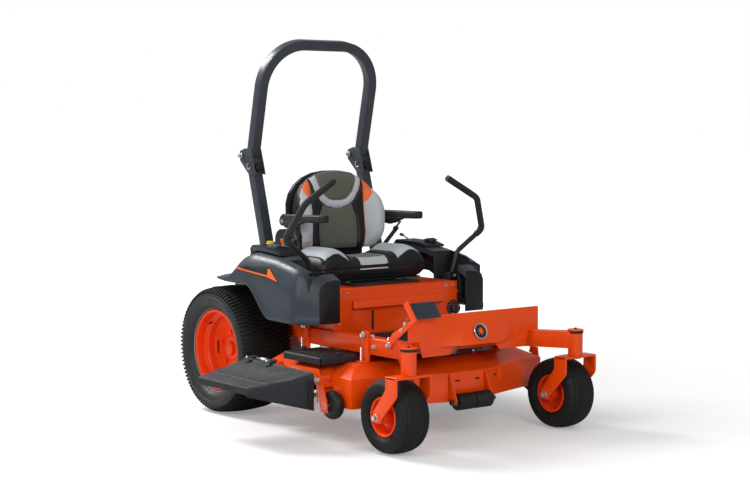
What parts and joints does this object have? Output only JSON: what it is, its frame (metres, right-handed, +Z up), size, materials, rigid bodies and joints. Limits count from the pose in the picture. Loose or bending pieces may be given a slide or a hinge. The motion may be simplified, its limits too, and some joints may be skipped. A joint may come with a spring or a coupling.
{
  "type": "zero turn mower",
  "caption": "Ride-on zero turn mower with twin steering levers, folding roll bar, swivelling front casters, liftable mowing deck and side discharge chute.",
  "frame": {"origin": "on the ground, on the middle plane, straight below the drive axle", "axes": "+Z up, -Y towards the front, +X towards the operator's left"},
  "size_m": [1.62, 2.0319, 1.8428],
  "materials": {
    "orange_paint": "gloss powder coat",
    "rim_paint": "gloss paint",
    "slate_paint": "satin paint",
    "black_paint": "satin paint",
    "slate_plastic": "fine grained",
    "black_plastic": "fine grained",
    "tyre_rubber": "matte",
    "roller_rubber": "smooth",
    "grip_foam": "closed cell foam",
    "armrest_foam": "skinned foam",
    "seat_vinyl": "grained vinyl",
    "yellow_plastic": "gloss",
    "cast_metal": "as cast, painted",
    "bare_steel": "heat dulled"
  },
  "bodies": {
    "chassis": {"frame_rails": "orange_paint", "caster_arms": "orange_paint", "frame_crossmembers": "orange_paint", "floor_pan": "orange_paint", "foot_panel": "orange_paint", "seat_box": "orange_paint", "seat_box_door": "orange_paint", "fender_left": "slate_plastic", "fender_right": "slate_plastic", "console_left": "black_plastic", "console_right": "black_plastic", "rops_post_left": "slate_paint", "rops_post_right": "slate_paint", "engine_block": "cast_metal", "engine_shroud": "black_plastic", "muffler": "bare_steel", "engine_guard": "black_paint", "transaxles": "cast_metal"},
    "caster_fork_left": {"fork_left": "orange_paint"},
    "caster_wheel_left": {"caster_tyre_left": "tyre_rubber", "caster_rim_left": "rim_paint"},
    "drive_wheel_left": {"drive_tyre_left": "tyre_rubber", "drive_rim_left": "rim_paint"},
    "rops_knob_left": {"rops_knob_left": "black_plastic"},
    "lever_bracket_left": {"lever_bracket_left": "black_paint"},
    "lap_bar_left": {"lap_bar_left": "black_paint", "grip_left": "grip_foam"},
    "armrest_left": {"armrest_left": "armrest_foam"},
    "gauge_wheel_left": {"gauge_wheel_left": "roller_rubber"},
    "caster_fork_right": {"fork_right": "orange_paint"},
    "caster_wheel_right": {"caster_tyre_right": "tyre_rubber", "caster_rim_right": "rim_paint"},
    "drive_wheel_right": {"drive_tyre_right": "tyre_rubber", "drive_rim_right": "rim_paint"},
    "rops_knob_right": {"rops_knob_right": "black_plastic"},
    "lever_bracket_right": {"lever_bracket_right": "black_paint"},
    "lap_bar_right": {"lap_bar_right": "black_paint", "grip_right": "grip_foam"},
    "armrest_right": {"armrest_right": "armrest_foam"},
    "gauge_wheel_right": {"gauge_wheel_right": "roller_rubber"},
    "rops_hoop": {"rops_hoop": "slate_paint"},
    "seat_base": {"seat_mount": "black_paint"},
    "seat": {"seat_shell": "black_plastic", "seat_cushion": "seat_vinyl", "seat_back": "seat_vinyl", "seat_belt": "black_plastic"},
    "deck": {"deck_shell": "orange_paint", "belt_covers": "black_plastic", "deck_brackets": "orange_paint"},
    "blade_right": {"blade_right": "black_paint"},
    "blade_middle": {"blade_middle": "black_paint"},
    "blade_left": {"blade_left": "black_paint"},
    "chute": {"chute": "slate_plastic"},
    "front_rollers": {"front_rollers": "roller_rubber"},
    "deck_lift_pedal": {"deck_lift_pedal": "orange_paint"},
    "pto_knob": {"pto_knob": "yellow_plastic"},
    "throttle_lever": {"throttle_lever": "black_plastic"},
    "brake_lever": {"brake_lever": "black_plastic"},
    "height_dial": {"height_dial": "black_plastic"},
    "fuel_cap": {"fuel_cap": "black_plastic"}
  },
  "joints": [
    {"name": "caster_swivel_left", "type": "hinge", "parent": "chassis", "child": "caster_fork_left", "pos_m": [0.498, -1.4, 0.4], "axis": [0, 0, 1], "continuous": true},
    {"name": "caster_roll_left", "type": "hinge", "parent": "caster_fork_left", "child": "caster_wheel_left", "pos_m": [0.498, -1.305, 0.165], "axis": [1, 0, 0], "continuous": true},
    {"name": "drive_roll_left", "type": "hinge", "parent": "chassis", "child": "drive_wheel_left", "pos_m": [0.471, 0, 0.3135], "axis": [1, 0, 0], "continuous": true},
    {"name": "rops_knob_turn_left", "type": "hinge", "parent": "chassis", "child": "rops_knob_left", "pos_m": [0.337, -0.06, 1.208], "axis": [0, 1, 0], "continuous": true},
    {"name": "lever_drive_left", "type": "hinge", "parent": "chassis", "child": "lever_bracket_left", "pos_m": [0.38, -0.605, 0.625], "axis": [1, 0, 0], "range_deg": [-12, 20], "stiffness_Nm_per_rad": 60, "springref_deg": -0.69},
    {"name": "lever_open_left", "type": "hinge", "parent": "lever_bracket_left", "child": "lap_bar_left", "pos_m": [0.424, -0.605, 0.668], "axis": [0, 1, 0], "range_deg": [0, 18]},
    {"name": "armrest_lift_left", "type": "hinge", "parent": "seat", "child": "armrest_left", "pos_m": [0.31, -0.196, 0.948], "axis": [-1, 0, 0], "range_deg": [0, 80]},
    {"name": "gauge_wheel_roll_left", "type": "hinge", "parent": "deck", "child": "gauge_wheel_left", "pos_m": [0.606, -1, 0.18], "axis": [1, 0, 0], "continuous": true},
    {"name": "caster_swivel_right", "type": "hinge", "parent": "chassis", "child": "caster_fork_right", "pos_m": [-0.498, -1.4, 0.4], "axis": [0, 0, 1], "continuous": true},
    {"name": "caster_roll_right", "type": "hinge", "parent": "caster_fork_right", "child": "caster_wheel_right", "pos_m": [-0.498, -1.305, 0.165], "axis": [1, 0, 0], "continuous": true},
    {"name": "drive_roll_right", "type": "hinge", "parent": "chassis", "child": "drive_wheel_right", "pos_m": [-0.471, 0, 0.3135], "axis": [1, 0, 0], "continuous": true},
    {"name": "rops_knob_turn_right", "type": "hinge", "parent": "chassis", "child": "rops_knob_right", "pos_m": [-0.337, -0.06, 1.208], "axis": [0, 1, 0], "continuous": true},
    {"name": "lever_drive_right", "type": "hinge", "parent": "chassis", "child": "lever_bracket_right", "pos_m": [-0.38, -0.605, 0.625], "axis": [1, 0, 0], "range_deg": [-12, 20], "stiffness_Nm_per_rad": 60, "springref_deg": -0.69},
    {"name": "lever_open_right", "type": "hinge", "parent": "lever_bracket_right", "child": "lap_bar_right", "pos_m": [-0.424, -0.605, 0.668], "axis": [0, -1, 0], "range_deg": [0, 18]},
    {"name": "armrest_lift_right", "type": "hinge", "parent": "seat", "child": "armrest_right", "pos_m": [-0.31, -0.196, 0.948], "axis": [-1, 0, 0], "range_deg": [0, 80]},
    {"name": "gauge_wheel_roll_right", "type": "hinge", "parent": "deck", "child": "gauge_wheel_right", "pos_m": [-0.606, -1, 0.18], "axis": [1, 0, 0], "continuous": true},
    {"name": "rops_fold", "type": "hinge", "parent": "chassis", "child": "rops_hoop", "pos_m": [0, 0.084, 1.264], "axis": [-1, 0, 0], "range_deg": [0, 110]},
    {"name": "seat_tilt", "type": "hinge", "parent": "chassis", "child": "seat_base", "pos_m": [0, -0.62, 0.6543], "axis": [1, 0, 0], "range_deg": [0, 50]},
    {"name": "seat_slide", "type": "slide", "parent": "seat_base", "child": "seat", "axis": [0, 1, 0], "range_m": [-0.075, 0.075]},
    {"name": "deck_lift", "type": "slide", "parent": "chassis", "child": "deck", "axis": [0, 0, 1], "range_m": [-0.1, 0]},
    {"name": "pedal_swing", "type": "hinge", "parent": "chassis", "child": "deck_lift_pedal", "pos_m": [-0.4, -1.15, 0.446], "axis": [-1, 0, 0], "range_deg": [0, 28]},
    {"name": "blade_spin_middle", "type": "hinge", "parent": "deck", "child": "blade_middle", "pos_m": [0, -0.975, 0.3], "axis": [0, 0, 1], "continuous": true},
    {"name": "blade_spin_right", "type": "hinge", "parent": "deck", "child": "blade_right", "pos_m": [-0.39, -0.78, 0.3], "axis": [0, 0, 1], "continuous": true},
    {"name": "blade_spin_left", "type": "hinge", "parent": "deck", "child": "blade_left", "pos_m": [0.39, -0.78, 0.3], "axis": [0, 0, 1], "continuous": true},
    {"name": "chute_lift", "type": "hinge", "parent": "deck", "child": "chute", "pos_m": [-0.668, -0.6, 0.3325], "axis": [0, 1, 0], "range_deg": [0, 85]},
    {"name": "front_roller_roll", "type": "hinge", "parent": "deck", "child": "front_rollers", "pos_m": [0, -1.248, 0.172], "axis": [1, 0, 0], "continuous": true},
    {"name": "pto_pull", "type": "slide", "parent": "chassis", "child": "pto_knob", "axis": [0, 0, 1], "range_m": [0, 0.014]},
    {"name": "throttle_swing", "type": "hinge", "parent": "chassis", "child": "throttle_lever", "pos_m": [-0.42, -0.345, 0.824], "axis": [1, 0, 0], "range_deg": [-25, 25]},
    {"name": "brake_swing", "type": "hinge", "parent": "chassis", "child": "brake_lever", "pos_m": [0.42, -0.28, 0.83], "axis": [1, 0, 0], "range_deg": [0, 50]},
    {"name": "dial_turn", "type": "hinge", "parent": "chassis", "child": "height_dial", "pos_m": [0.35, -0.7, 0.52], "axis": [0, 1, 0], "range_deg": [-135, 135]},
    {"name": "fuel_cap_turn", "type": "hinge", "parent": "chassis", "child": "fuel_cap", "pos_m": [0.462, -0.39, 0.84], "axis": [0, 0, 1], "continuous": true}
  ],
  "couplings": [
    {"joint": "blade_spin_right", "follows": "blade_spin_middle", "ratio": 1},
    {"joint": "blade_spin_left", "follows": "blade_spin_middle", "ratio": 1},
    {"joint": "pedal_swing", "follows": "deck_lift", "rad_per_m": -4.88}
  ]
}
